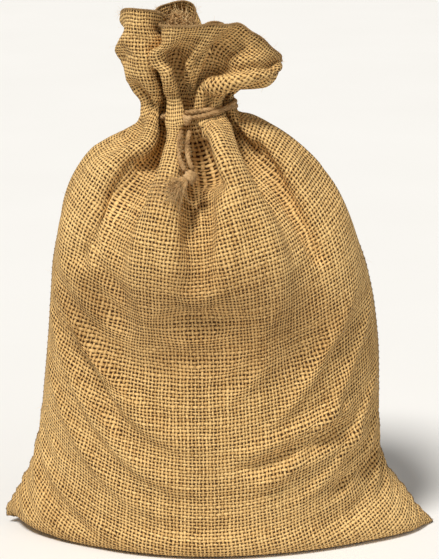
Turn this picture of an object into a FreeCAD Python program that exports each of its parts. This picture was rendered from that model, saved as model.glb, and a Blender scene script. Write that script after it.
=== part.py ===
"""Filled hessian sack, tied at the neck with two turns of jute twine.

A front and a back panel of plain woven cloth are sewn together down both sides and along the
bottom, and hold a loose filling. Twine gathers the cloth into a tight neck. Above it the free cloth
opens out as a ruffle that ends in the hemmed mouth, and that can be pushed over to the front or the
back. The twine's two ends hang from the knot, are knotted together and are frayed below that knot.

Millimetres. X runs across the sack, Y from front (-Y) to back, and Z up. The origin is on the
floor under the middle of the sack.
"""

import FreeCAD, Part
import math
import os

from FreeCAD import Placement, Rotation, Vector

SHEET = "Dimensions"

# Driving dimensions.
SIZES = {
    "cloth_thickness": 1.5,
    "free_gap": 0.3,
    "seam_thickness": 2.4,
    "seam_width": 10.0,
    "seam_offset": 1.0,
    "side_seam_bottom": 14.0,
    "side_seam_top": 330.0,
    "thread_radius": 0.5,
    "stitch_length": 7.0,
    "stitch_pitch": 9.0,
    "filling_inset": 7.2,
    "twine_radius": 2.4,
    "twine_spacing": 5.3,
    "tie_centre_x": -26.0,
    "tie_height": 397.0,
    "tie_tilt": 8.0,
    "neck_half_width": 38.2,
    "neck_half_depth": 24.2,
    "neck_top": 7.0,
    "hinge_rise": 14.0,
    "hinge_radius": 12.0,
    "hinge_half_length": 45.0,
    "tongue_half_length": 33.0,
    "ruffle_thickness": 1.5,
    "hem_height": 7.0,
    "hem_thickness": 3.4,
    "hem_outset": 0.9,
    "mouth_tilt": 10.0,
    "front_mouth_height": 464.0,
    "back_mouth_height": 484.0,
    "knot_ring_radius": 3.8,
    "knot_strand_radius": 2.2,
    "tail_knot_ring_radius": 3.2,
    "tail_knot_strand_radius": 2.2,
    "fray_length": 33.0,
    "fray_top_radius": 3.4,
    "fray_tip_radius": 7.0,
}

# The sack's outer outline, level by level: height, left edge, right edge, half depth.
BODY_LEVELS = {
    "base": (0.0, -186.0, 186.0, 86.0),
    "corner": (9.0, -199.0, 199.0, 94.0),
    "ear": (34.0, -191.0, 183.0, 98.0),
    "hip": (70.0, -176.0, 153.0, 98.0),
    "belly": (120.0, -166.0, 149.0, 97.0),
    "waist": (185.0, -159.0, 147.0, 95.0),
    "chest": (250.0, -155.0, 137.0, 92.0),
    "shoulder": (305.0, -152.0, 118.0, 87.0),
    "slope": (342.0, -137.0, 90.0, 74.0),
    "collar": (369.0, -108.0, 58.0, 50.0),
}
FILLING_TOP = {"crown": (356.0, -95.0, 45.0, 38.0)}

# The ruffle's outline above the tie: height of the level's middle, left, right, half depth, and its
# tilt about Y. The lowest level is the hinge's own, and is placed from the tie.
RUFFLE_LEVELS = {
    "throat": (421.0, -73.0, 19.0, 21.0, -6.0),
    "flare": (436.0, -84.0, 44.0, 34.0, -2.0),
    "wide": (455.0, -93.0, 54.0, 44.0, 2.0),
    "lip": (478.0, -97.0, 50.0, 47.0, 4.0),
    "rim": (512.0, -98.0, 46.0, 48.0, 4.0),
}

# Middle lines of the two hanging twine ends, from the knot down to the knot that joins them.
TAIL_ROUTES = {
    "tail_left": [
        (-33.0, -38.2, 385.4),
        (-36.4, -46.2, 379.2),
        (-37.0, -55.4, 371.6),
        (-34.6, -64.8, 362.8),
        (-29.6, -72.4, 355.6),
    ],
    "tail_right": [
        (-26.4, -38.2, 385.4),
        (-28.0, -46.4, 379.0),
        (-28.6, -55.8, 371.3),
        (-27.0, -65.0, 363.4),
        (-23.4, -71.9, 357.6),
    ],
}
TAIL_RADIUS = 2.2
TAIL_ARC_SHARE = 0.45
TAIL_KNOT_PLACE = Vector(-25.5, -77.2, 351.6)
KNOT_WRAP_PITCH = 1.6
KNOT_ACROSS = -3.0
TIE_KNOT_AXIS = Vector(0.45, 0.0, 0.9)
FRAY_DIRECTION = Vector(-0.70, -0.47, -0.54)
FAR = 400.0

doc = FreeCAD.newDocument("HessianSack")
sheet = doc.addObject("Spreadsheet::Sheet", SHEET)


def fill_sheet():
    """One row of the sheet for each driving dimension, with its alias."""
    cells = dict(SIZES)
    for levels in (BODY_LEVELS, FILLING_TOP, RUFFLE_LEVELS):
        for name, numbers in levels.items():
            words = ("height", "left", "right", "half_depth", "tilt")
            cells.update({f"{name}_{word}": value for word, value in zip(words, numbers)})
    for row, (alias, value) in enumerate(cells.items(), start=1):
        sheet.set(f"A{row}", alias)
        sheet.set(f"B{row}", str(value))
        sheet.setAlias(f"B{row}", alias)
    doc.recompute()


def size(alias):
    """A driving dimension's value, for the shapes that are made by code."""
    return float(sheet.get(alias))


def bind(thing, **formulas):
    """Binds properties to formulas, in which a word in braces is an alias of the sheet."""
    for prop, formula in formulas.items():
        path = prop.replace("__", ".")
        for alias in sorted(set(p.split("}")[0] for p in formula.split("{")[1:])):
            formula = formula.replace("{" + alias + "}", f"{SHEET}.{alias}")
        thing.setExpression(path, formula)
    return thing


def ellipse(name, level, inset="0", rise="0"):
    """A level's outline, moved inwards by inset and up by rise."""
    ring = doc.addObject("Part::Ellipse", name)
    ring.Placement = Placement(Vector(), Rotation(Vector(0, 1, 0), 1))
    return bind(
        ring,
        MajorRadius=f"({{{level}_right}} - {{{level}_left}}) / 2 - ({inset})",
        MinorRadius=f"{{{level}_half_depth}} - ({inset})",
        Placement__Base__x=f"({{{level}_right}} + {{{level}_left}}) / 2",
        Placement__Base__z=f"{{{level}_height}} + ({rise})",
        Placement__Rotation__Angle=f"{{{level}_tilt}}" if level in RUFFLE_LEVELS else "0",
    )


def tie_ellipse(name, along, half_width, half_depth):
    """An outline square to the neck, along millimetres above the middle of the tie."""
    ring = doc.addObject("Part::Ellipse", name)
    ring.Placement = Placement(Vector(), Rotation(Vector(0, 1, 0), -1))
    return bind(
        ring,
        MajorRadius=half_width,
        MinorRadius=half_depth,
        Placement__Base__x=f"{{tie_centre_x}} - ({along}) * sin({{tie_tilt}})",
        Placement__Base__z=f"{{tie_height}} + ({along}) * cos({{tie_tilt}})",
        Placement__Rotation__Angle="-{tie_tilt}",
    )


def loft(name, sections):
    made = doc.addObject("Part::Loft", name)
    made.Sections = sections
    made.Solid = True
    made.Ruled = False
    return made


def body_loft(name, inset, top=()):
    """The sack's outline moved inwards all round, closed by the sections in top."""
    rings = [
        ellipse(f"{name}_{level}", level, inset, inset if level == "base" else "0")
        for level in BODY_LEVELS
    ]
    return loft(name, rings + list(top))


def ruffle_loft(name, root, inset):
    """The ruffle's outline moved inwards, from the section root up."""
    return loft(name, [root] + [ellipse(f"{name}_{level}", level, inset) for level in RUFFLE_LEVELS])


def cut(name, base, tool):
    made = doc.addObject("Part::Cut", name)
    made.Base, made.Tool = base, tool
    return made


def common(name, base, tool):
    made = doc.addObject("Part::Common", name)
    made.Base, made.Tool = base, tool
    return made


def fuse(name, base, tool):
    made = doc.addObject("Part::Fuse", name)
    made.Base, made.Tool = base, tool
    return made


def box(name, **formulas):
    return bind(doc.addObject("Part::Box", name), **formulas)


def half_space(name, side, top):
    """A large box in front of (side -1) or behind (side 1) the middle plane, with its top at top."""
    return box(
        name,
        Length=f"{2 * FAR}",
        Width=f"{FAR}",
        Height=f"{FAR * 2}",
        Placement__Base__x=f"{-FAR}",
        Placement__Base__y="0" if side > 0 else f"{-FAR}",
        Placement__Base__z=f"({top}) - {FAR * 2}",
    )


def mouth_box(name, side, top, height):
    """A box under the mouth's sloping edge on one side of the middle plane: height deep from top."""
    slab = doc.addObject("Part::Box", name)
    slab.Placement = Placement(Vector(), Rotation(Vector(0, 1, 0), 1))
    along, up = f"{FAR / 2}", f"({height})"
    return bind(
        slab,
        Length=f"{FAR}",
        Width=f"{FAR}",
        Height=height,
        Placement__Base__x=f"{{tie_centre_x}} - {along} * cos({{mouth_tilt}}) - {up} * sin({{mouth_tilt}})",
        Placement__Base__y="0" if side > 0 else f"{-FAR}",
        Placement__Base__z=f"({top}) + {along} * sin({{mouth_tilt}}) - {up} * cos({{mouth_tilt}})",
        Placement__Rotation__Angle="{mouth_tilt}",
    )


def hinge_cylinder(name, radius, half_length):
    """A cylinder on the axis that the ruffle folds about."""
    made = doc.addObject("Part::Cylinder", name)
    return bind(
        made,
        Radius=radius,
        Height=f"2 * ({half_length})",
        Placement__Base__x="{tie_centre_x} - {hinge_rise} * sin({tie_tilt})"
        f" - ({half_length}) * cos({{tie_tilt}})",
        Placement__Base__z="{tie_height} + {hinge_rise} * cos({tie_tilt})"
        f" - ({half_length}) * sin({{tie_tilt}})",
    )


def label(thing, name):
    thing.Label = name
    return thing


def tie_point(across, out, along):
    """A point given in the tilted frame of the tie: across it, out to the front, and along the neck."""
    tilt = math.radians(size("tie_tilt"))
    return Vector(
        size("tie_centre_x") + across * math.cos(tilt) - along * math.sin(tilt),
        -out,
        size("tie_height") + across * math.sin(tilt) + along * math.cos(tilt),
    )


def make_panels():
    """Front and back cloth of the sack, closed at the neck, with the ruffle's seat in its top."""
    collar_ring = tie_ellipse("neck_low", "-14", "{neck_half_width} + 3", "{neck_half_depth} + 3")
    neck_ring = tie_ellipse("neck_high", "{neck_top}", "{neck_half_width}", "{neck_half_depth}")
    mid_ring = tie_ellipse("neck_mid", "-5", "{neck_half_width}", "{neck_half_depth}")
    outer = body_loft("outer", "0", [collar_ring, mid_ring, neck_ring])
    inner = body_loft("inner", "{cloth_thickness}")
    shell = cut("sack_shell", outer, inner)
    seat = hinge_cylinder("seat", "{hinge_radius}", "{hinge_half_length}")
    seated = cut("seated_shell", shell, seat)
    for name, side in (("front_panel", -1), ("back_panel", 1)):
        space = half_space(f"{name}_side", side, "{tie_height} + 100")
        label(common(f"{name}_cloth", seated, space), name)
    return seat


def make_seams():
    """Folded seam allowances inside the sack, on the back panel's side of each seam."""
    outside = body_loft("seam_out", "{cloth_thickness} + {free_gap}")
    inside = body_loft("seam_in", "{cloth_thickness} + {free_gap} + {seam_thickness}")
    band = cut("seam_band", outside, inside)
    height = "{side_seam_top} - {side_seam_bottom}"
    for name, start in (("side_seam_left", "-220"), ("side_seam_right", "80")):
        strip = box(
            f"{name}_strip",
            Length="140",
            Width="{seam_width}",
            Height=height,
            Placement__Base__x=start,
            Placement__Base__y="{seam_offset}",
            Placement__Base__z="{side_seam_bottom}",
        )
        label(common(f"{name}_cloth", band, strip), name)
    low = "{cloth_thickness} + {free_gap}"
    label(
        box(
            "bottom_strip",
            Length="{base_right} - {base_left} - 16",
            Width="{seam_width}",
            Height="{seam_thickness}",
            Placement__Base__x="{base_left} + 8",
            Placement__Base__y="{seam_offset}",
            Placement__Base__z=low,
        ),
        "bottom_seam",
    )
    return inside


def make_filling():
    crown = ellipse("filling_crown", "crown")
    label(body_loft_to_slope("filling_loft", "{filling_inset}", crown), "filling")


def body_loft_to_slope(name, inset, crown):
    """The sack's outline up to the slope of its shoulders, moved inwards and closed by crown."""
    levels = [level for level in BODY_LEVELS if level != "collar"]
    rings = [
        ellipse(f"{name}_{level}", level, inset, inset if level == "base" else "0")
        for level in levels
    ]
    return loft(name, rings + [crown])


def stitch(place, direction):
    length, radius = size("stitch_length"), size("thread_radius")
    start = place - direction * (length / 2)
    return Part.makeCylinder(radius, length, start, direction)


def make_seam_threads(seam_inside):
    """Rows of stitches on the inner faces of the three seam allowances."""
    pitch, radius = size("stitch_pitch"), size("thread_radius")
    middle_y = size("seam_offset") + size("seam_width") / 2
    lift = radius + size("free_gap")
    low, high = size("side_seam_bottom") + pitch, size("side_seam_top") - pitch
    count = int((high - low) / pitch)

    def seam_edge(side, height):
        reach = Part.makeLine(Vector(0, middle_y, height), Vector(side * FAR, middle_y, height))
        held = reach.common(seam_inside.Shape)
        return max(abs(v.X) for v in held.Vertexes) * side

    for name, side in (("side_seam_thread_left", -1), ("side_seam_thread_right", 1)):
        stitches = []
        for step in range(count):
            height = low + step * pitch
            ends = [seam_edge(side, height + turn * pitch / 3) for turn in (-1, 0, 1)]
            slope = Vector(ends[2] - ends[0], 0, 2 * pitch / 3).normalize()
            inwards = Vector(-side * slope.z, 0, side * slope.x)
            place = Vector(ends[1], middle_y, height) + inwards * (lift + size("free_gap"))
            stitches.append(stitch(place, slope))
        add_shape(name, Part.makeCompound(stitches))
    top = size("cloth_thickness") + size("free_gap") + size("seam_thickness") + lift
    half = size("base_right") - 16
    across = int(2 * half / pitch)
    row = [
        stitch(Vector(-half + (step + 0.5) * pitch, middle_y, top), Vector(1, 0, 0))
        for step in range(across)
    ]
    add_shape("bottom_seam_thread", Part.makeCompound(row))


def make_ruffle():
    """The free cloth above the tie: two half shells with a rounded root, and the mouth's hem."""
    root = tie_ellipse("ruffle_root", "{hinge_rise}", "{tongue_half_length} + 1", "{hinge_radius} - 1")
    outer = ruffle_loft("ruffle_out", root, "0")
    inner = loft(
        "ruffle_in",
        [ellipse(f"ruffle_in_{level}", level, "{ruffle_thickness}") for level in RUFFLE_LEVELS],
    )
    tongue = hinge_cylinder("tongue", "{hinge_radius} - {free_gap}", "{tongue_half_length}")
    funnel = cut("funnel", fuse("funnel_solid", outer, tongue), inner)
    hem_out = loft(
        "hem_out",
        [ellipse(f"hem_out_{level}", level, "-{hem_outset}") for level in RUFFLE_LEVELS],
    )
    hem_in = loft(
        "hem_in",
        [
            ellipse(f"hem_in_{level}", level, "{hem_thickness} - {hem_outset}")
            for level in RUFFLE_LEVELS
        ],
    )
    hem_band = cut("hem_band", hem_out, hem_in)
    for side_name, side in (("front", -1), ("back", 1)):
        top = f"{{{side_name}_mouth_height}}"
        hem_foot = f"{top} - {{hem_height}} / cos({{mouth_tilt}})"
        below = mouth_box(f"{side_name}_below", side, hem_foot, f"{FAR / 4}")
        label(common(f"ruffle_{side_name}_cloth", funnel, below), f"ruffle_{side_name}")
        slab = mouth_box(f"{side_name}_slab", side, top, "{hem_height}")
        label(common(f"hem_{side_name}_band", hem_band, slab), f"mouth_hem_{side_name}")


def make_turns():
    """Two closed turns of twine round the neck."""
    reach = "{free_gap} + {twine_radius}"
    for name, side in (("tie_turn_lower", "-1"), ("tie_turn_upper", "1")):
        along = f"{side} * {{twine_spacing}} / 2"
        path = tie_ellipse(
            f"{name}_path",
            along,
            f"{{neck_half_width}} + {reach}",
            f"{{neck_half_depth}} + {reach}",
        )
        section = doc.addObject("Part::Circle", f"{name}_section")
        section.Placement = Placement(Vector(), Rotation(Vector(1, 0, 0), 90))
        bind(
            section,
            Radius="{twine_radius}",
            Placement__Base__x=f"{{tie_centre_x}} - ({along}) * sin({{tie_tilt}})"
            f" + ({{neck_half_width}} + {reach}) * cos({{tie_tilt}})",
            Placement__Base__z=f"{{tie_height}} + ({along}) * cos({{tie_tilt}})"
            f" + ({{neck_half_width}} + {reach}) * sin({{tie_tilt}})",
        )
        turn = doc.addObject("Part::Sweep", f"{name}_twine")
        turn.Sections = [section]
        turn.Spine = (path, ["Edge1"])
        turn.Solid = True
        turn.Frenet = True
        label(turn, name)


def knot_shape(place, ring_radius, strand_radius, axis):
    """Three wraps of twine side by side round an axis, pulled into one solid knot."""
    pitch = KNOT_WRAP_PITCH * strand_radius
    notch = ring_radius + math.sqrt(strand_radius**2 - (pitch / 2) ** 2)
    end = pitch + strand_radius
    ring = Vector(ring_radius, 0, 0)
    start = [Vector(0, 0, -end), Vector(ring_radius, 0, -end)]
    edges = [Part.makeLine(*start)]
    last = start[1]
    for wrap in (-1, 0, 1):
        middle = ring + Vector(strand_radius, 0, wrap * pitch)
        stop = Vector(notch, 0, (wrap + 0.5) * pitch) if wrap < 1 else ring + Vector(0, 0, end)
        edges.append(Part.Arc(last, middle, stop).toShape())
        last = stop
    edges.append(Part.makeLine(last, Vector(0, 0, end)))
    edges.append(Part.makeLine(Vector(0, 0, end), start[0]))
    profile = Part.Face(Part.Wire(edges))
    knot = profile.revolve(Vector(), Vector(0, 0, 1), 360)
    knot.Placement = Placement(place, Rotation(Vector(0, 0, 1), axis))
    return knot


def add_shape(name, shape):
    """A sub-part whose shape is made by code."""
    made = doc.addObject("Part::Feature", name)
    made.Shape = shape
    return label(made, name)


def rounded_path(points):
    """Straight runs joined by tangent arcs, and the arcs' radii."""
    corners = [Vector(*p) for p in points]
    edges, radii, start = [], [], corners[0]
    for before, corner, after in zip(corners, corners[1:], corners[2:]):
        back, ahead = before - corner, after - corner
        setback = TAIL_ARC_SHARE * min(back.Length, ahead.Length)
        turn = math.pi - back.getAngle(ahead)
        radii.append(setback / math.tan(turn / 2))
        back, ahead = back.normalize(), ahead.normalize()
        first, last = corner + back * setback, corner + ahead * setback
        bisector = (back + ahead).normalize()
        centre = corner + bisector * (radii[-1] / math.cos(turn / 2))
        middle = centre - bisector * radii[-1]
        edges.append(Part.LineSegment(start, first).toShape())
        edges.append(Part.Arc(first, middle, last).toShape())
        start = last
    edges.append(Part.LineSegment(start, corners[-1]).toShape())
    return Part.Wire(edges), radii


def make_tails():
    """The twine's two hanging ends, the knot that joins them and the frayed fibres below it."""
    for name, points in TAIL_ROUTES.items():
        path, radii = rounded_path(points)
        direction = Vector(*points[1]) - Vector(*points[0])
        section = Part.Wire(Part.makeCircle(TAIL_RADIUS, Vector(*points[0]), direction))
        tube = path.makePipeShell([section], True, False)
        expected = math.pi * TAIL_RADIUS**2 * path.Length
        print(f"{name}: length {path.Length:.1f}, radii {[round(r, 1) for r in radii]}, "
              f"volume {tube.Volume / expected:.3f} of section times length")
        add_shape(name, tube)
    ring, strand = size("tail_knot_ring_radius"), size("tail_knot_strand_radius")
    add_shape("tail_knot", knot_shape(TAIL_KNOT_PLACE, ring, strand, FRAY_DIRECTION))
    direction = Vector(FRAY_DIRECTION).normalize()
    start = TAIL_KNOT_PLACE + direction * ((KNOT_WRAP_PITCH + 1) * strand + size("free_gap") * 2)
    tuft = Part.makeCone(
        size("fray_top_radius"), size("fray_tip_radius"), size("fray_length"), start, direction
    )
    add_shape("frayed_ends", tuft)


def write_parts():
    doc.recompute()
    failed = [o.Name for o in doc.Objects if {"Invalid", "Error"} & set(o.State)]
    if failed:
        raise RuntimeError(f"these objects failed: {failed}")
    os.makedirs("parts", exist_ok=True)
    for name in NODES:
        shape = doc.getObjectsByLabel(name)[0].Shape
        if shape.isNull() or not shape.isValid() or shape.Volume <= 0:
            raise RuntimeError(f"{name} has no valid shape")
        shape.exportStep(f"parts/{name}.step")


NODES = [
    "front_panel",
    "back_panel",
    "ruffle_front",
    "ruffle_back",
    "mouth_hem_front",
    "mouth_hem_back",
    "side_seam_left",
    "side_seam_right",
    "bottom_seam",
    "side_seam_thread_left",
    "side_seam_thread_right",
    "bottom_seam_thread",
    "filling",
    "tie_turn_lower",
    "tie_turn_upper",
    "tie_knot",
    "tail_left",
    "tail_right",
    "tail_knot",
    "frayed_ends",
]

fill_sheet()
seat = make_panels()
seam_inside = make_seams()
make_filling()
make_ruffle()
make_turns()
doc.recompute()

# The hinge's cylinders and the turns' outlines lie along the tilted neck.
for cylinder in ("seat", "tongue"):
    doc.getObject(cylinder).Placement.Rotation = Rotation(
        Vector(0, 1, 0), 90 - size("tie_tilt")
    )
knot_out = size("neck_half_depth") + size("free_gap") * 2 + size("twine_radius") * 2
knot_out += size("knot_ring_radius") + size("knot_strand_radius")
add_shape(
    "tie_knot",
    knot_shape(
        tie_point(KNOT_ACROSS, knot_out, 0),
        size("knot_ring_radius"),
        size("knot_strand_radius"),
        TIE_KNOT_AXIS,
    ),
)
doc.recompute()
make_seam_threads(seam_inside)
make_tails()
write_parts()
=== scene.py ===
"""Looks of a filled hessian sack, tied at the neck with jute twine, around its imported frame.

The cloth is solved here as a tube of woven cloth, in millimetres. u runs round the sack from the left
seam, past the front, to the right seam and round the back. v runs up from the bottom seam to the mouth.
"""
import math

import bpy
import numpy as np
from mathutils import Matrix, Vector


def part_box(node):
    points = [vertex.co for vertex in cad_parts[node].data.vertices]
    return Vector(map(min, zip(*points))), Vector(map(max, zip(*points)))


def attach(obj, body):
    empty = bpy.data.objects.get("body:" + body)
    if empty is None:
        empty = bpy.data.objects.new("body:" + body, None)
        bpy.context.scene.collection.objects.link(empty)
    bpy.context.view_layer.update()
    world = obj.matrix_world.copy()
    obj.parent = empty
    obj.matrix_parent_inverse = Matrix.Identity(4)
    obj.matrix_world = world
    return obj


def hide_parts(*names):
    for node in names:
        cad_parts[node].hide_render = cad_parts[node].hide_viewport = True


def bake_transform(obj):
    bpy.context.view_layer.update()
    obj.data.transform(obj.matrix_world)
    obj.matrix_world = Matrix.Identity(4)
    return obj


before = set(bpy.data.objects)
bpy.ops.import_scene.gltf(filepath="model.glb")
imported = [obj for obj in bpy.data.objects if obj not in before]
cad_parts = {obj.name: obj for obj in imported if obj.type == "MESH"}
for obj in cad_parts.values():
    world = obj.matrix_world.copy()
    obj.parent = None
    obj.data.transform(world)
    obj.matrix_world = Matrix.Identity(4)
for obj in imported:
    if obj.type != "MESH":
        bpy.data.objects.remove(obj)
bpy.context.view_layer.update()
MM = 0.001

# Cloth and tie, in millimetres
FLAT_WIDTH = 405.0
FLAT_LENGTH = 610.0
ROUND = 2 * FLAT_WIDTH
CLOTH_THICKNESS = 1.2
THREAD_PITCH = 3.2
TIE_CENTRE = np.array([-26.0, 0.0, 397.0])
TIE_TILT = math.radians(8)
TIE_COS = math.cos(TIE_TILT)
TIE_SIN = math.sin(TIE_TILT)
NECK_HALF = (38.2, 24.2)
TWINE_RADIUS = 2.4
TURN_GAP = 2.65
FLOOR_CLEAR = 0.5
CLOTH_SEED = 3
FIBRE_SEED = 11


# ---- camera
CAMERA_DISTANCE = 2.0
CAMERA_RISE = math.radians(15)
CAMERA_TARGET = Vector((0.0, 0.0, 0.2386))


def add_object(name, data):
    added = bpy.data.objects.new(name, data)
    bpy.context.scene.collection.objects.link(added)
    return added


def add_camera():
    data = bpy.data.cameras.new("camera")
    data.lens = 140.0
    data.sensor_width = 36.0
    camera = add_object("camera", data)
    away = Vector((0.0, -math.cos(CAMERA_RISE), math.sin(CAMERA_RISE)))
    camera.location = CAMERA_TARGET + away * CAMERA_DISTANCE
    camera.rotation_euler = (-away).to_track_quat("-Z", "Y").to_euler()
    bpy.context.scene.camera = camera


add_camera()


# ---- small helpers
def add_mesh(name, points, faces, uv, material):
    """A mesh object from points in millimetres, with one (u, v) pair in metres for each point, or no uv."""
    mesh = bpy.data.meshes.new(name)
    points = np.asarray(points, float).reshape(-1, 3) * MM
    mesh.from_pydata(points.tolist(), [], [list(map(int, f)) for f in faces])
    mesh.update()
    mesh.polygons.foreach_set("use_smooth", np.ones(len(mesh.polygons), bool))
    if uv is not None:
        layer = mesh.uv_layers.new(name="cloth")
        corner = np.zeros(len(mesh.loops), np.int32)
        mesh.loops.foreach_get("vertex_index", corner)
        layer.data.foreach_set("uv", np.asarray(uv, np.float32)[corner].reshape(-1))
    mesh.materials.append(material)
    return add_object(name, mesh)


def dress(piece, body, slot, *nodes):
    """The piece moves with a body; its slot is not used. It stands for the nodes given, if there are any."""
    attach(piece, body)
    if nodes:
        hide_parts(*nodes)


def unit(v):
    return v / (np.linalg.norm(v, axis=-1, keepdims=True) + 1e-12)


def bell(off, half):
    """1 where off is 0, falling smoothly to 1/e where off is half."""
    return np.exp(-((off / half) ** 2))


def ramp(x, start, over):
    """Rises evenly from 0 at start to 1 at start + over."""
    return np.clip((x - start) / over, 0, 1)


def round_off(u, place):
    """How far each u is from a place, the short way round the sack."""
    return (u - place + ROUND / 2) % ROUND - ROUND / 2


def to_tie(points):
    """Sideways, depth and height of points in the tie's own tilted frame."""
    off = points - TIE_CENTRE
    wide = off[..., 0] * TIE_COS + off[..., 2] * TIE_SIN
    tall = off[..., 2] * TIE_COS - off[..., 0] * TIE_SIN
    return wide, off[..., 1], tall


def from_tie(wide, deep, tall):
    """The points at those places of the tie's frame."""
    x = TIE_CENTRE[0] + wide * TIE_COS - tall * TIE_SIN
    z = TIE_CENTRE[2] + wide * TIE_SIN + tall * TIE_COS
    return np.stack([x, deep, z], -1)


def frames_along(path, closed=False):
    """Tangent, side and up vectors carried along a path without twist."""
    if closed:
        tangent = unit(np.roll(path, -1, 0) - np.roll(path, 1, 0))
    else:
        tangent = unit(np.gradient(path, axis=0))
    side = np.zeros_like(path)
    start = np.array([0.0, 0.0, 1.0]) if abs(tangent[0, 2]) < 0.9 else np.array([1.0, 0.0, 0.0])
    side[0] = unit(np.cross(tangent[0], start))
    for i in range(1, len(path)):
        side[i] = unit(side[i - 1] - tangent[i] * (side[i - 1] @ tangent[i]))
    return tangent, side, np.cross(tangent, side)


def run(path):
    """How far along a path each of its points lies."""
    return np.concatenate([[0], np.cumsum(np.linalg.norm(np.diff(path, axis=0), axis=1))])


def tube_faces(rings, around, closed=False):
    """The faces of a tube made of rings of points, with flat ends unless it is closed."""
    faces = []
    for i in range(rings if closed else rings - 1):
        low = i * around
        high = (i + 1) % rings * around
        for j in range(around):
            k = (j + 1) % around
            faces.append((low + j, low + k, high + k, high + j))
    if not closed:
        faces.append(tuple(range(around))[::-1])
        faces.append(tuple(range((rings - 1) * around, rings * around)))
    return faces


def rope(name, path, radius, material, plies=3, lay=12.0, groove=0.24, closed=False, around=18):
    """A laid rope: a tube whose section is a ring of plies that turns once in each length of lay."""
    path = np.asarray(path, float)
    count = len(path)
    tangent, side, up = frames_along(path, closed)
    along = run(path)
    total = along[-1] + (np.linalg.norm(path[0] - path[-1]) if closed else 0)
    turns = round(total / lay) if closed else total / lay
    slip = 0.0
    if closed:
        carried = side[-1] - tangent[0] * (side[-1] @ tangent[0])
        slip = math.atan2(np.cross(carried, side[0]) @ tangent[0], carried @ side[0])
    angle = np.arange(around) * 2 * np.pi / around
    part = along / total
    thin = np.ones(count)
    if not closed:
        thin = np.sqrt(np.clip(np.minimum(along, total - along) / (0.6 * radius), 0.05, 1))
    body = 1 - groove * (1 - np.abs(np.cos(plies * angle / 2))) ** 1.4
    turn = part * (2 * np.pi * turns + slip)
    a = angle[None, :] + turn[:, None]
    ring = radius * thin[:, None] * body[None, :]
    points = (path[:, None] + side[:, None] * (ring * np.cos(a))[..., None]
              + up[:, None] * (ring * np.sin(a))[..., None])
    uv = np.stack([np.broadcast_to(angle / (2 * np.pi) * 0.02, (count, around)),
                   np.broadcast_to((along * MM)[:, None], (count, around))], -1).reshape(-1, 2)
    return add_mesh(name, points, tube_faces(count, around, closed), uv, material)


def fibres(name, strands, radius, curl, seed, drop=0.0, segments=7):
    """Loose three-sided fibres. Each strand has a root, a way and a length, wanders and comes to a point."""
    random = np.random.default_rng(seed)
    tube = tube_faces(segments + 1, 3)
    points = []
    faces = []
    uv = []
    for root, way, length in strands:
        at = np.array(root, float)
        way = unit(np.array(way, float))
        bend = random.normal(0, curl, 3)
        line = [at.copy()]
        for _ in range(segments):
            shake = random.normal(0, curl / 5, 3)
            way = unit(way + bend / segments + shake - np.array([0, 0, drop / segments]))
            at = at + way * length / segments
            line.append(at.copy())
        line = np.array(line)
        line[:, 2] = np.maximum(line[:, 2], FLOOR_CLEAR)
        _, side, up = frames_along(line)
        base = len(points)
        for i, place in enumerate(line):
            size = radius * (1 - 0.8 * i / segments)
            for j in range(3):
                a = j * 2 * math.pi / 3
                points.append(place + side[i] * size * math.cos(a) + up[i] * size * math.sin(a))
                uv.append((0.001 * j, i * length / segments * MM))
        faces += [[base + corner for corner in face] for face in tube]
    return add_mesh(name, points, faces, uv, FLUFF)


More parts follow.
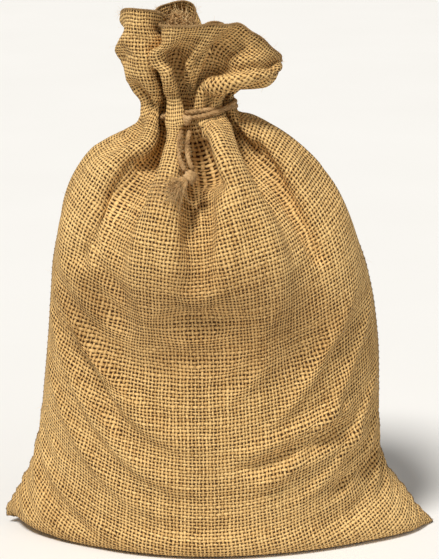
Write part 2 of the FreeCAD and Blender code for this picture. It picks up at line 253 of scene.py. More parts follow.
# ---- materials
class Nodes:
    """A material's node tree, with short names for the nodes used here."""

    def __init__(self, name, rough=0.85, specular=0.16, sheen=0.05):
        self.material = bpy.data.materials.new(name)
        self.material.use_nodes = True
        self.tree = self.material.node_tree
        self.shader = next(n for n in self.tree.nodes if n.type == "BSDF_PRINCIPLED")
        values = {"Roughness": rough, "Specular IOR Level": specular, "Sheen Weight": sheen,
                  "Sheen Roughness": 0.5, "Sheen Tint": (1.0, 0.86, 0.62, 1)}
        for socket, value in values.items():
            self.shader.inputs[socket].default_value = value

    def join(self, value, socket):
        if isinstance(value, bpy.types.NodeSocket):
            self.tree.links.new(value, socket)
        else:
            socket.default_value = value

    def math(self, operation, *values, clamp=False):
        node = self.tree.nodes.new("ShaderNodeMath")
        node.operation = operation
        node.use_clamp = clamp
        for value, socket in zip(values, node.inputs):
            self.join(value, socket)
        return node.outputs[0]

    def add(self, total, *others):
        for other in others:
            total = self.math("ADD", total, other)
        return total

    def less(self, a, b):
        return self.math("SUBTRACT", a, b)

    def times(self, a, b):
        return self.math("MULTIPLY", a, b)

    def swing(self, value, amount):
        """A value from 0 to 1 turned into one from minus half the amount to half the amount."""
        return self.times(self.less(value, 0.5), amount)

    def uv(self):
        node = self.tree.nodes.new("ShaderNodeUVMap")
        node.uv_map = "cloth"
        parts = self.tree.nodes.new("ShaderNodeSeparateXYZ")
        self.tree.links.new(node.outputs[0], parts.inputs[0])
        return node.outputs[0], parts.outputs[0], parts.outputs[1]

    def place(self):
        return self.tree.nodes.new("ShaderNodeTexCoord").outputs["Object"]

    def vector(self, x, y, z=0.0):
        node = self.tree.nodes.new("ShaderNodeCombineXYZ")
        for value, socket in zip((x, y, z), node.inputs):
            self.join(value, socket)
        return node.outputs[0]

    def noise(self, vector, scale, detail=2.0, colour=False):
        node = self.tree.nodes.new("ShaderNodeTexNoise")
        self.join(vector, node.inputs["Vector"])
        node.inputs["Scale"].default_value = scale
        node.inputs["Detail"].default_value = detail
        return node.outputs["Color" if colour else "Fac"]

    def split(self, vector):
        node = self.tree.nodes.new("ShaderNodeSeparateXYZ")
        self.join(vector, node.inputs[0])
        return node.outputs

    def random(self, x, y):
        node = self.tree.nodes.new("ShaderNodeTexWhiteNoise")
        node.noise_dimensions = "2D"
        self.join(self.vector(x, y), node.inputs["Vector"])
        return node.outputs["Value"]

    def spread(self, value, low, high, to_low=0.0, to_high=1.0, smooth=False):
        node = self.tree.nodes.new("ShaderNodeMapRange")
        if smooth:
            node.interpolation_type = "SMOOTHSTEP"
        for v, socket in zip((value, low, high, to_low, to_high), node.inputs):
            self.join(v, socket)
        return node.outputs[0]

    def mix(self, share, a, b, blend="MIX"):
        node = self.tree.nodes.new("ShaderNodeMix")
        node.data_type = "RGBA"
        node.blend_type = blend
        self.join(share, node.inputs[0])
        for value, socket in ((a, node.inputs[6]), (b, node.inputs[7])):
            self.join(value if isinstance(value, bpy.types.NodeSocket) else (*value, 1), socket)
        return node.outputs[2]

    def finish(self, colour, height=None, distance=0.001, strength=1.0):
        self.tree.links.new(colour, self.shader.inputs["Base Color"])
        if height is not None:
            bump = self.tree.nodes.new("ShaderNodeBump")
            bump.inputs["Distance"].default_value = distance
            bump.inputs["Strength"].default_value = strength
            self.tree.links.new(height, bump.inputs["Height"])
            self.tree.links.new(bump.outputs[0], self.shader.inputs["Normal"])
        return self.material


JUTE_PALE = (1.0, 0.675, 0.285)
JUTE = (0.53, 0.300, 0.098)
JUTE_DARK = (0.21, 0.096, 0.024)
# Painted shade: the dark inside of the sack, seen through the holes of the weave and laid where the threads
# are low
PAINTED_HOLE_SHADE = (0.052, 0.021, 0.005)


# How the cloth's threads wander, slowly and quickly: noise scale, its detail, and how far in metres
WANDERS = ((55.0, 2.0, 0.0026), (240.0, 1.0, 0.0010))
WARP_COVER = 0.60
WEFT_COVER = 0.70
UNDER_DEPTH = 0.30
# Painted shade on the belly: the colour the threads are multiplied by there, and how much of it is mixed in
PAINTED_BELLY_SHADE = (0.70, 0.64, 0.60)
PAINTED_BELLY_SHADE_SHARE = 0.75


def weave(name, pitch):
    """Plain weave: warp and weft threads that pass over and under, uneven in thickness, place and colour."""
    n = Nodes(name)
    vector, u, v = n.uv()
    wanders = [(n.split(n.noise(vector, scale, detail, colour=True)), far) for scale, detail, far in WANDERS]
    p, q = (n.math("DIVIDE", n.add(value, *(n.swing(wander[axis], far) for wander, far in wanders)), pitch)
            for axis, value in enumerate((u, v)))
    threads = []
    for own, other, shift, sign, cover in ((p, q, 3.7, 1.0, WARP_COVER), (q, p, 41.3, -1.0, WEFT_COVER)):
        number = n.math("FLOOR", own)
        middle = n.add(n.swing(n.random(number, shift + 9.0), 0.15), 0.5)
        across = n.times(n.math("ABSOLUTE", n.less(n.math("FRACT", own), middle)), 2.0)
        thick = n.random(number, shift)
        slub = n.noise(n.vector(n.add(n.times(number, 5.3), shift), n.times(other, 0.16)), 1.0)
        width = n.add(cover - 0.34, n.times(thick, 0.18), n.times(slub, 0.46))
        inside = n.spread(across, n.less(width, 0.10), n.add(width, 0.10), 1.0, 0.0, True)
        edge = n.math("DIVIDE", across, width)
        crown = n.math("SUBTRACT", 1.0, n.times(edge, edge), clamp=True)
        wave = n.math("COSINE", n.times(n.add(n.less(other, 0.5), number), math.pi))
        height = n.add(0.40, n.times(wave, UNDER_DEPTH * sign), n.times(crown, 0.36))
        tone = n.noise(n.vector(n.times(number, 3.1), n.times(other, 0.11), shift), 1.0)
        strand = n.noise(n.vector(n.times(own, 7.0), n.times(other, 1.3), shift), 1.0)
        # Painted light in the thread's tone: the crown of each thread is lighter and its edges darker
        tone = n.add(n.times(tone, 0.62), n.times(strand, 0.52), n.times(n.less(crown, 0.6), 0.20))
        # Painted light: a thread is lighter where it passes over and darker where it dips under
        threads.append((n.times(height, inside), n.add(tone, n.times(wave, 0.17 * sign))))
    (warp, warp_tone), (weft, weft_tone) = threads
    front = n.math("GREATER_THAN", warp, weft)
    height = n.math("MAXIMUM", warp, weft)
    tone = n.add(n.times(front, warp_tone), n.times(n.less(1.0, front), weft_tone))
    place = n.place()
    cloud = n.noise(place, 9.0, 3.0)
    tone = n.add(tone, n.swing(cloud, 0.34))
    # The pale end of the thread colours also carries that painted highlight, and the dark end that painted
    # shade, besides paler and darker threads
    pale = n.mix(n.spread(tone, 0.48, 0.90), JUTE, JUTE_PALE)
    thread = n.mix(n.spread(tone, 0.26, 0.56), JUTE_DARK, pale)
    # painted shade: the belly is a little darker in its colour, where the front falls into shade below the
    # shoulders
    x, y, z = n.split(place)[:3]
    wide = n.math("DIVIDE", n.add(x, 0.010), 0.150)
    tall = n.math("DIVIDE", n.less(z, 0.222), 0.062)
    far = n.add(n.times(wide, wide), n.times(tall, tall), n.swing(cloud, 1.2))
    belly_shade = n.times(n.spread(far, 0.1, 1.3, 1.0, 0.0, True), n.spread(y, -0.05, -0.02, 1.0, 0.0))
    thread = n.mix(n.times(belly_shade, PAINTED_BELLY_SHADE_SHARE), thread, n.mix(1.0, thread, PAINTED_BELLY_SHADE, "MULTIPLY"))
    # painted shade in the holes and at the low sides of the threads
    colour = n.mix(n.spread(height, 0.16, 0.60, smooth=True), PAINTED_HOLE_SHADE, thread)
    fleck = n.spread(n.noise(vector, 900.0, 1.0), 0.66, 0.80, 0.0, 0.35)
    colour = n.mix(fleck, colour, JUTE_DARK)
    hair = n.noise(vector, 2600.0, 1.0)
    return n.finish(colour, n.add(height, n.times(hair, 0.10)), distance=0.0014)


def jute(name, pale, base, dark, streak=2600.0, along=160.0):
    """Fibrous twine: streaks along the strand, uneven colour and a fine rough surface."""
    n = Nodes(name, rough=0.8, specular=0.2, sheen=0.1)
    _, a, s = n.uv()
    streaks = n.noise(n.vector(n.times(a, streak), n.times(s, along)), 1.0, 3.0)
    cloud = n.noise(n.place(), 85.0, 3.0)
    speck = n.noise(n.place(), 900.0, 2.0)
    tone = n.add(n.times(streaks, 0.6), n.times(cloud, 0.4))
    colour = n.mix(n.spread(tone, 0.34, 0.52), dark, base)
    colour = n.mix(n.spread(tone, 0.50, 0.68), colour, pale)
    colour = n.mix(n.spread(speck, 0.62, 0.75, 0.0, 0.4), colour, dark)
    height = n.add(n.times(streaks, 0.8), n.times(speck, 0.3))
    return n.finish(colour, height, distance=0.0010, strength=0.9)


def grain(name):
    """Loose dry filling, seen only if the cloth is opened."""
    n = Nodes(name, rough=0.9)
    lump = n.noise(n.place(), 260.0, 3.0)
    fine = n.noise(n.place(), 1300.0, 2.0)
    colour = n.mix(n.spread(lump, 0.35, 0.65), (0.30, 0.20, 0.09), (0.66, 0.50, 0.27))
    return n.finish(colour, n.add(lump, n.times(fine, 0.4)), distance=0.003)


HESSIAN = weave("woven_hessian", THREAD_PITCH * MM)
SELVEDGE = jute("selvedge_threads", (0.70, 0.47, 0.22), (0.48, 0.285, 0.115), JUTE_DARK, 1500.0, 500.0)
TWINE = jute("jute_twine", (0.93, 0.64, 0.34), (0.59, 0.36, 0.155), (0.18, 0.086, 0.027))
FLUFF = jute("pale_jute_fibre", (1.0, 0.78, 0.43), (0.96, 0.64, 0.30), (0.62, 0.37, 0.15))
STITCH = jute("seam_thread_cotton", (0.66, 0.50, 0.29), (0.50, 0.34, 0.17), (0.28, 0.16, 0.07))
GRAIN = grain("dry_filling")


# ---- cords
TAIL_RADIUS = 2.2
ROUTE_STEPS = 28
# Each tail's node, length, number of hairs and control points, in metres; the first point is its upper end,
# a little below the knot at the neck
TAILS = {
    "left_tail": ("tail_left", 0.0472, 150, [
        (-0.0330, -0.0382, 0.3854),
        (-0.0364, -0.0462, 0.3792),
        (-0.0370, -0.0554, 0.3716),
        (-0.0346, -0.0648, 0.3628),
        (-0.0296, -0.0724, 0.3556),
    ]),
    "right_tail": ("tail_right", 0.0445, 50, [
        (-0.0264, -0.0382, 0.3854),
        (-0.0280, -0.0464, 0.3790),
        (-0.0286, -0.0558, 0.3713),
        (-0.0270, -0.0650, 0.3634),
        (-0.0234, -0.0719, 0.3576),
    ]),
}


def nurbs_line(points):
    """Points along the smooth NURBS curve that a route's control points give, in metres."""
    curve = bpy.data.curves.new("route", "CURVE")
    curve.dimensions = "3D"
    spline = curve.splines.new("NURBS")
    spline.points.add(len(points) - 1)
    for point, place in zip(spline.points, points):
        point.co = (*place, 1)
    spline.order_u = 3
    spline.use_endpoint_u = True
    spline.resolution_u = ROUTE_STEPS
    holder = add_object("route", curve)
    bpy.context.view_layer.update()
    solved = holder.evaluated_get(bpy.context.evaluated_depsgraph_get())
    mesh = bpy.data.meshes.new_from_object(solved)
    line = np.array([v.co for v in mesh.vertices], float)
    bpy.data.objects.remove(holder)
    bpy.data.meshes.remove(mesh)
    return line


def wrapped_knot(name, centre, axis, ring, strand, turns, seed):
    """A knot of wound twine: a few tight turns about an axis, whose two ends tuck under."""
    random = np.random.default_rng(seed)
    axis = unit(np.array(axis, float))
    side = unit(np.cross(axis, (0.0, 1.0, 0.2)))
    up = np.cross(axis, side)
    t = np.linspace(0, 1, 90)
    angle = 2 * np.pi * turns * t
    tuck = np.minimum(np.minimum(t, 1 - t) / 0.12, 1)
    wobble = 1 + 0.10 * np.sin(3 * angle + random.uniform(0, 6)) + 0.06 * np.sin(5.3 * angle)
    out = ring * (0.35 + 0.65 * tuck) * wobble
    shift = (t - 0.5) * 2 * strand * 1.55
    path = (np.array(centre) + side * (out * np.cos(angle))[:, None] + up * (out * np.sin(angle))[:, None]
            + axis * shift[:, None])
    return rope(name, path, strand, TWINE, lay=11.0)


def node_centre(node):
    low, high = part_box(node)
    return np.array((low + high) / 2) / MM


FRAY_WAY = unit(np.array([-0.80, -0.30, -0.52]))
END_KNOT = wrapped_knot("end_knot", node_centre("tail_knot"), FRAY_WAY, 3.9, 2.3, 2.7, 5)


TUFT_FIBRES = 320
TUFT_RADIUS = 3.2
TUFT_START = 4.0


def frayed_tuft():
    """The twine's two ends, frayed to loose fibres below the knot that joins them."""
    random = np.random.default_rng(FIBRE_SEED)
    start = node_centre("tail_knot") + FRAY_WAY * TUFT_START
    side = unit(np.cross(FRAY_WAY, (0, 0, 1.0)))
    up = np.cross(FRAY_WAY, side)
    strands = []
    for _ in range(TUFT_FIBRES):
        a = random.uniform(0, 2 * math.pi)
        r = TUFT_RADIUS * math.sqrt(random.uniform(0, 1))
        off = side * math.cos(a) + up * math.sin(a)
        way = FRAY_WAY + off * random.uniform(0.02, 0.42) * (r / TUFT_RADIUS)
        strands.append((start + off * r, way, random.uniform(14, 41)))
    return fibres("frayed_tuft", strands, 0.37, 0.6, FIBRE_SEED + 1, drop=0.2)


TUFT = frayed_tuft()
tail_lines = {}
for tail, (node, length, _, route) in TAILS.items():
    line = nurbs_line(route)
    tail_lines[tail] = line / MM
    piece = rope(tail, line / MM, TAIL_RADIUS, TWINE, groove=0.34)
    dress(piece, "tails", "jute_twine", node)
dress(END_KNOT, "tails", "jute_twine", "tail_knot")
dress(TUFT, "tails", "jute_twine", "frayed_ends")


# ---- curves through named points
def smooth_curve(x, y, at):
    """A smooth curve through (x, y), at the places asked for; x rises."""
    x = np.asarray(x, float)
    y = np.asarray(y, float)
    step = np.diff(x)[:, None]
    slope = np.diff(y, axis=0) / step
    tangent = np.zeros_like(y)
    tangent[1:-1] = (slope[:-1] * step[1:] + slope[1:] * step[:-1]) / (step[:-1] + step[1:])
    tangent[0] = slope[0]
    tangent[-1] = slope[-1]
    at = np.clip(at, x[0], x[-1])
    i = np.clip(np.searchsorted(x, at, side="right") - 1, 0, len(x) - 2)
    h = step[i]
    t = (at - x[i])[:, None] / h
    return ((2 * t**3 - 3 * t**2 + 1) * y[i] + (t**3 - 2 * t**2 + t) * h * tangent[i]
            + (3 * t**2 - 2 * t**3) * y[i + 1] + (t**3 - t**2) * h * tangent[i + 1])


def round_curve(points, at, step_round):
    """A smooth closed curve over u; step_round is what its values gain in one turn."""
    points = np.array(points, float)
    turn = np.array([ROUND, *step_round])
    points = np.vstack([points[-3:] - turn, points, points[:3] + turn])
    return smooth_curve(points[:, 0], points[:, 1:], at)


# ---- the cloth's start
# Rings of the filled sack: height, left, right, half depth, depth of the valleys, and how far the cloth is
# spaced as it is at the neck
LEVELS = np.array([
    (0.5, -199, 198, 84, 0, 0),
    (9, -197, 192, 90, 0, 0),
    (34, -189, 178, 93, 0, 0),
    (70, -176, 153, 96, 0, 0),
    (120, -166, 149, 98.5, 0, 0),
    (185, -159, 147, 99.5, 0, 0),
    (250, -155, 139, 96, 5, 0.05),
    (305, -151, 122, 92, 22, 0.2),
    (342, -139, 102, 82, 40, 0.42),
    (369, -114, 76, 66, 46, 0.7),
    (386, -84, 38, 45, 38, 0.95),
    (397, -64.2, 12.2, 24.2, 20, 1),
], float)
# Where the cloth round the sack is gathered at the neck: u, and degrees from the left past the front
NECK_PLACES = [
    (0, 0), (54, 30), (108, 55), (153, 73), (198, 88), (226, 103),
    (254, 119), (282, 138), (309, 158), (355, 176), (410, 192), (457, 215),
    (505, 240), (557, 265), (610, 290), (657, 313), (705, 334), (757, 347),
]
# Long valleys below the neck, and the small ones between them: u and strength
VALLEYS = [(0, 0.6), (108, 1.0), (198, 0.9), (309, 1.0), (410, 0.7), (505, 1.0), (610, 1.0), (705, 0.9)]
SMALL_VALLEYS = [(60, 0.5), (254, 0.8), (355, 0.6), (457, 0.6), (557, 0.6), (657, 0.6), (757, 0.5)]
SMALL_VALLEY_DEPTH = 9.0
SMALL_VALLEY_WIDTH = 12.0
# The ruffle's folds half way up and at its rim: u, x, y, z
MIDDLE_FOLDS = [
    (5, -80, 14, 437), (26, -84, -4, 436), (48, -78, -20, 435), (70, -64, -27, 435),
    (92, -54, -20, 434), (108, -48, -6, 434), (132, -52, -30, 437), (150, -46, -37, 436),
    (170, -41, -12, 434), (190, -33, -26, 434), (215, -20, -29, 436), (240, -6, -17, 436),
    (262, 8, -39, 432), (285, 28, -38, 430), (305, 36, -25, 429), (332, 35, -7, 428),
    (355, 31, 8, 430), (378, 29, 19, 434), (400, 27, 28, 436), (445, 16, 6, 436),
    (497, -4, 30, 440), (545, -16, 8, 440), (585, -24, 32, 446), (615, -37, 38, 450),
    (645, -48, 32, 446), (684, -52, 8, 440), (738, -64, 30, 440), (788, -76, 22, 438),
]
RIM_FOLDS = [
    (5, -86, 18, 477), (26, -88, -2, 478), (48, -85, -22, 490), (70, -70, -33, 490),
    (92, -54, -24, 486), (108, -48, -4, 478), (132, -54, -34, 474), (150, -45, -47, 477),
    (170, -28, -52, 480), (190, -10, -53, 482), (215, 10, -49, 481), (240, 27, -39, 473),
    (262, 40, -31, 462), (285, 50, -20, 451), (308, 55, -6, 442), (332, 52, 11, 441),
    (355, 42, 26, 443), (378, 35, 34, 447), (400, 28, 34, 454), (445, 19, 6, 458),
    (497, -4, 30, 468), (545, -16, 6, 464), (585, -22, 26, 480), (615, -38, 24, 491),
    (645, -54, 24, 481), (684, -60, 8, 472), (738, -72, 32, 476), (788, -82, 26, 478),
]
EAR_HEIGHTS = (0, 9, 34, 70)
LEFT_EAR = (16, 26, 42, 70)
RIGHT_EAR = (1.5, 12, 34, 70)


def even_angle(half_width, half_depth, u):
    """Angles that divide an ellipse's outline into equal lengths."""
    t = np.linspace(0, 2 * np.pi, 721)
    x = -half_width * np.cos(t)
    y = -half_depth * np.sin(t)
    s = np.concatenate([[0], np.cumsum(np.hypot(np.diff(x), np.diff(y)))])
    return np.interp((u % ROUND) / ROUND * s[-1], s, t)


def valley_share(u, sharp):
    """How far into a long valley each u is, from 0 on a crest to the valley's strength."""
    share = np.zeros_like(u)
    ends = VALLEYS + [(VALLEYS[0][0] + ROUND, VALLEYS[0][1])]
    for (low, a), (high, b) in zip(ends[:-1], ends[1:]):
        inside = (u >= low) & (u < high)
        f = (u[inside] - low) / (high - low)
        share[inside] = (a * (1 - f) + b * f) * (np.cos(np.pi * f) ** 2) ** sharp
    return share


def small_valley_share(u):
    share = np.zeros_like(u)
    for place, strength in SMALL_VALLEYS:
        share = np.maximum(share, strength * bell(round_off(u, place), SMALL_VALLEY_WIDTH))
    return share


def ring_of(level, u):
    """One ring of the filled sack, with its valleys, ears and tilt."""
    height, left, right, half_depth, valley, own = level
    middle = (left + right) / 2
    half_width = (right - left) / 2
    neck_angle = np.radians(round_curve(NECK_PLACES, u, [360.0])[:, 0])
    angle = (1 - own) * even_angle(half_width, half_depth, u) + own * neck_angle
    depth = valley * valley_share(u, 1.6 + own)
    if valley > 0:
        depth = depth + SMALL_VALLEY_DEPTH * own**2 * small_valley_share(u)
    normal = unit(np.stack([-np.cos(angle) * half_depth, -np.sin(angle) * half_width], -1))
    x = middle - half_width * np.cos(angle) - normal[:, 0] * depth
    y = -half_depth * np.sin(angle) - normal[:, 1] * depth
    if height < EAR_HEIGHTS[-1]:
        side = np.abs(np.cos(angle)) ** 8
        left_ear = np.interp(height, EAR_HEIGHTS, LEFT_EAR)
        right_ear = np.interp(height, EAR_HEIGHTS, RIGHT_EAR)
        z = height + side * (np.where(np.cos(angle) > 0, left_ear, right_ear) - height)
    else:
        z = height + (x - middle) * math.tan(own**3 * TIE_TILT)
    return np.stack([x, y, z], 1)


def tie_line(u):
    """The v at which the tie crosses the cloth: less cloth lies below it at the sides than at the middle."""
    return 502.0 - 9.0 * np.cos(4 * np.pi * u / ROUND)


def start_shape(rows, cols):
    """A first grid of cloth points: up the filled sack, through the tie and out to the ruffle's rim."""
    u = np.arange(cols) * ROUND / cols
    v = np.linspace(0, FLAT_LENGTH, rows)
    f = np.where(u <= FLAT_WIDTH, u / FLAT_WIDTH, 2 - u / FLAT_WIDTH)
    seam = np.stack([-200.5 + 400.5 * f, 0 * f, 2 + 10 * (1 - f) ** 8], 1)
    levels = smooth_curve(np.arange(len(LEVELS)), LEVELS, np.linspace(0, len(LEVELS) - 1, 60))
    rings = np.array([seam] + [ring_of(level, u) for level in levels])
    lengths = np.linalg.norm(np.diff(rings, axis=0), axis=2)
    along = np.vstack([np.zeros(cols), np.cumsum(lengths, 0)])
    line = tie_line(u)
    middle = round_curve(MIDDLE_FOLDS, u, [0, 0, 0])
    rim = round_curve(RIM_FOLDS, u, [0, 0, 0])
    points = np.zeros((rows, cols, 3))
    for c in range(cols):
        low = v <= line[c]
        for k in range(3):
            points[low, c, k] = np.interp(v[low] / line[c] * along[-1, c], along[:, c], rings[:, c, k])
        throat = rings[-1, c]
        knots = np.array([throat, throat + (-1.4, 0, 10.0), middle[c], rim[c]])
        share = (v[~low] - line[c]) / (FLAT_LENGTH - line[c])
        points[~low, c] = smooth_curve([0, 0.1, 0.45, 1.0], knots, share)
    return points


# ---- the filling that the cloth lies on
# height, left, right, front, back
FILLING = np.array([
    (-20, -160, 140, 80, 80),
    (0, -163, 144, 84, 79),
    (9, -167, 147, 88, 83),
    (34, -169, 148, 93, 87),
    (70, -168, 148, 94, 90),
    (120, -164, 147.5, 92, 92),
    (185, -157.5, 145.5, 88, 93),
    (230, -154, 139, 89, 91),
    (262, -151, 131, 91, 89),
    (290, -144, 118, 86, 82),
    (320, -124, 90, 66, 64),
    (345, -92, 50, 41, 40),
    (362, -64, 22, 20, 20),
    (392, -50, -2, 5, 5),
], float)
# Hollows under the long valleys: degrees at the shoulder and at the neck, then depths at three heights
HOLLOWS = [(46, 55, 3, 6, 6, 6), (90, 88, 0, 1, 6, 8), (141, 158, 2, 5, 6, 6)]
HOLLOW_HEIGHTS = (230, 250, 305, 342, 369)
HOLLOW_WIDTH = 13.0
FLOOR_GAP = 2.4


def filling_table():
    heights = np.arange(FILLING[0, 0], FILLING[-1, 0] + 1)
    table = smooth_curve(FILLING[:, 0], FILLING[:, 1:], heights)
    kernel = np.array([1, 2, 3, 4, 3, 2, 1]) / 16
    for k in range(4):
        table[:, k] = np.convolve(np.pad(table[:, k], 3, mode="edge"), kernel, "valid")
    return heights, table


FILL_HEIGHTS, FILL_TABLE = filling_table()


def outside_filling(points):
    """How far outside the filling each point is, and the direction straight out from it."""
    x, y, z = points[..., 0], points[..., 1], points[..., 2]
    at = np.clip(z - FILL_HEIGHTS[0], 0, len(FILL_HEIGHTS) - 1.001)
    low = at.astype(int)
    share = (at - low)[..., None]
    here = FILL_TABLE[low] * (1 - share) + FILL_TABLE[low + 1] * share
    rise = FILL_TABLE[low + 1] - FILL_TABLE[low]
    middle, half = (here[..., 0] + here[..., 1]) / 2, (here[..., 1] - here[..., 0]) / 2
    middle_rise, half_rise = (rise[..., 0] + rise[..., 1]) / 2, (rise[..., 1] - rise[..., 0]) / 2
    depth = np.where(y < 0, here[..., 2], here[..., 3])
    depth_rise = np.where(y < 0, rise[..., 2], rise[..., 3])
    sx = (x - middle) / half
    sy = y / depth
    q = np.sqrt(sx * sx + sy * sy) + 1e-9
    angle = np.degrees(np.arctan2(-sy, -sx)) % 360
    sink = np.zeros_like(q)
    for shoulder, neck, *depths in HOLLOWS:
        place = shoulder + (neck - shoulder) * np.clip((z - 305) / 92, -0.5, 1)
        off = (angle - place + 180) % 360 - 180
        deep = np.interp(z, HOLLOW_HEIGHTS, [0] + depths)
        sink = np.maximum(sink, deep * bell(off, HOLLOW_WIDTH))
    g = q - 1 + sink / np.sqrt((sx * half) ** 2 + (sy * depth) ** 2 + 1e-9) * q
    gx = sx / q / half
    gy = sy / q / depth
    gz = (-sx * (middle_rise / half + sx * half_rise / half) - sy * sy * depth_rise / depth) / q
    size = np.sqrt(gx * gx + gy * gy + gz * gz) + 1e-9
    gap = np.where(z > FILL_HEIGHTS[-1], 50, g / size)
    normal = np.stack([gx, gy, gz], -1) / size[..., None]
    under = FLOOR_GAP - z
    below = under > gap
    normal[below] = (0, 0, -1)
    return np.where(below, under, gap), normal


# ---- the cloth solver
GRAVITY_STEP = 0.02
COARSE_GRID = (62, 82)
COARSE_STEPS = 400
FINE_STEPS = 220
PART_EVERY = 10
PART_GAP = 4.0
PART_STRENGTH = 0.5
PART_REACH = 3
# How far the gather reaches above and below the tie, and the least share of their flat length that threads
# keep: round the neck, and lengthways below the tie
GATHER_ABOVE = 62.0
GATHER_BELOW = 38.0
LEAST_ROUND = 0.5
LEAST_LONG = 0.84
# The tie's oval opens out above and below the twine, from this height, up to this far
TIE_OPENS_FROM = 3.0
TIE_OPENS_OVER = 40
TIE_OPENS_BY = 1.5
# Only cloth this near the tie, along the cloth and in height, is held inside it
TIE_ROWS = 30
TIE_HEIGHT = 14
# The furthest that a point moves in one step, and the least gaps to the floor and the filling
FASTEST = 3.0
OFF_FLOOR = 0.9
OFF_FILLING = 0.8
# The pull onto the filling outside the valleys, and the push that lifts the ridges between them
FLAT_PULL = 0.06
RIDGE_PUSH = 0.55


class Cloth:
    """A tube of woven cloth as a grid of points, moved in small steps until it hangs."""

    def __init__(self, points, goal, long_bend):
        self.points = points.copy()
        self.speed = np.zeros_like(points)
        self.goal = goal
        self.rows, self.cols = points.shape[:2]
        self.u = np.arange(self.cols) * ROUND / self.cols
        self.v = np.linspace(0, FLAT_LENGTH, self.rows)
        self.above = self.v[:, None] - tie_line(self.u)[None, :]
        self.long_bend = long_bend
        step_u = ROUND / self.cols
        step_v = FLAT_LENGTH / (self.rows - 1)
        # the threads bunch together where the neck is gathered
        near = bell(self.above, np.where(self.above > 0, GATHER_ABOVE, GATHER_BELOW))
        now = np.linalg.norm(np.roll(points, -1, 1) - points, axis=2)
        self.rest_u = step_u * (1 - near + np.clip(now / step_u, LEAST_ROUND, 1.0) * near)
        low = self.above <= 0
        path = (np.linalg.norm(np.diff(points, axis=0), axis=2) * low[1:]).sum(0)
        share = np.clip(path / (low[1:].sum(0) * step_v), LEAST_LONG, 1.0)
        share = np.convolve(np.concatenate([share[-1:], share, share[:1]]), np.ones(3) / 3, "valid")
        up = ramp(self.above, 0, 40)
        self.rest_v = step_v * (share[None, :] * (1 - up) + up)
        self.inward = np.minimum(valley_share(self.u, 4.0), 1)[None, :]
        self.pull_from = 250 + 110 * bell(self.u - VALLEYS[2][0], 34)[None, :]
        self.bulge = np.interp(self.u, [0, 20, 170, 192, 770, 810], [7, 7, 7, 0, 0, 7])[None, :]

    def pull(self, first, second, rest, strength, only_short=False):
        """Moves the points at two sets of places towards their rest distance."""
        a, b = self.points[first], self.points[second]
        gap = b - a
        length = np.sqrt((gap * gap).sum(-1)) + 1e-9
        share = (length - rest[first]) / length * (0.5 * strength)
        if only_short:
            share = np.minimum(share, 0)
        move = gap * share[..., None]
        self.points[first] = a + move
        self.points[second] = b - move

    def across(self, step, rest, strength, only_short=False):
        every = slice(None)
        for start in range(2 * step):
            i = np.arange(start, self.cols, 2 * step)
            j = (i + step) % self.cols
            keep = ~np.isin(j, i)
            self.pull((every, i[keep]), (every, j[keep]), rest, strength, only_short)

    def upward(self, step, rest, strength, only_short=False):
        for start in range(2 * step):
            i = np.arange(start, self.rows - step, 2 * step)
            self.pull(i, i + step, rest, strength, only_short)

    def shear(self, strength):
        rest = np.sqrt(self.rest_u**2 + self.rest_v**2)
        for row in (0, 1):
            i = np.arange(row, self.rows - 1, 2)
            for col in (0, 1):
                j = np.arange(col, self.cols, 2)
                k = (j + 1) % self.cols
                self.pull(np.ix_(i, j), np.ix_(i + 1, k), rest, strength)
                self.pull(np.ix_(i, k), np.ix_(i + 1, j), rest, strength)

    def hold_tie(self):
        """Keeps the neck inside the tie's oval, which opens out above and below the twine."""
        wide, deep, tall = to_tie(self.points)
        opens = np.clip(np.abs(tall) - TIE_OPENS_FROM, 0, TIE_OPENS_OVER) * TIE_OPENS_BY
        grow = opens + self.bulge
        reach = np.hypot(wide / (NECK_HALF[0] + grow), deep / (NECK_HALF[1] + grow))
        near = (np.abs(self.above) < TIE_ROWS) & (np.abs(tall) < TIE_HEIGHT)
        reach = np.where(near, np.maximum(reach, 1.0), 1.0)
        self.points = from_tie(wide / reach, deep / reach, tall)

    def step(self, suck, bend, shear, damp, pin):
        before = self.points.copy()
        gap, normal = outside_filling(self.points)
        rise = ramp(self.v[:, None], self.pull_from, 100) * (self.above < -12)
        pull = -suck * ramp(gap, 0, 8.0) * (self.above < -20) * (FLAT_PULL + rise * self.inward)
        pull = pull + RIDGE_PUSH * suck * rise * (1 - self.inward) * (gap < 16)
        self.speed *= damp
        self.points += self.speed + normal * pull[..., None]
        self.points[..., 2] -= GRAVITY_STEP * (self.above < 0)
        self.upward(1, self.rest_v, 1.0)
        self.across(1, self.rest_u, 1.0)
        self.shear(shear)
        for reach, strength in ((2, bend), (self.long_bend, 0.4 * bend)):
            if reach:
                self.upward(reach, reach * self.rest_v, strength, True)
                rest = sum(np.roll(self.rest_u, -j, 1) for j in range(reach))
                self.across(reach, rest, strength, True)
        self.points += (self.goal - self.points) * pin[..., None]
        # the bottom seam joins front and back
        c = np.arange(1, self.cols // 2)
        middle = (self.points[0, c] + self.points[0, self.cols - c]) / 2
        self.points[0, c] = middle
        self.points[0, self.cols - c] = middle
        self.points[0, :, 1] *= 0.9
        gap, normal = outside_filling(self.points)
        self.points += normal * (np.clip(OFF_FILLING - gap, 0, 3) * (self.above < -15))[..., None]
        self.points[..., 2] = np.maximum(self.points[..., 2], OFF_FLOOR)
        self.hold_tie()
        self.speed = self.points - before
        size = np.sqrt((self.speed**2).sum(-1))[..., None]
        self.speed *= np.minimum(1, FASTEST / (size + 1e-9))

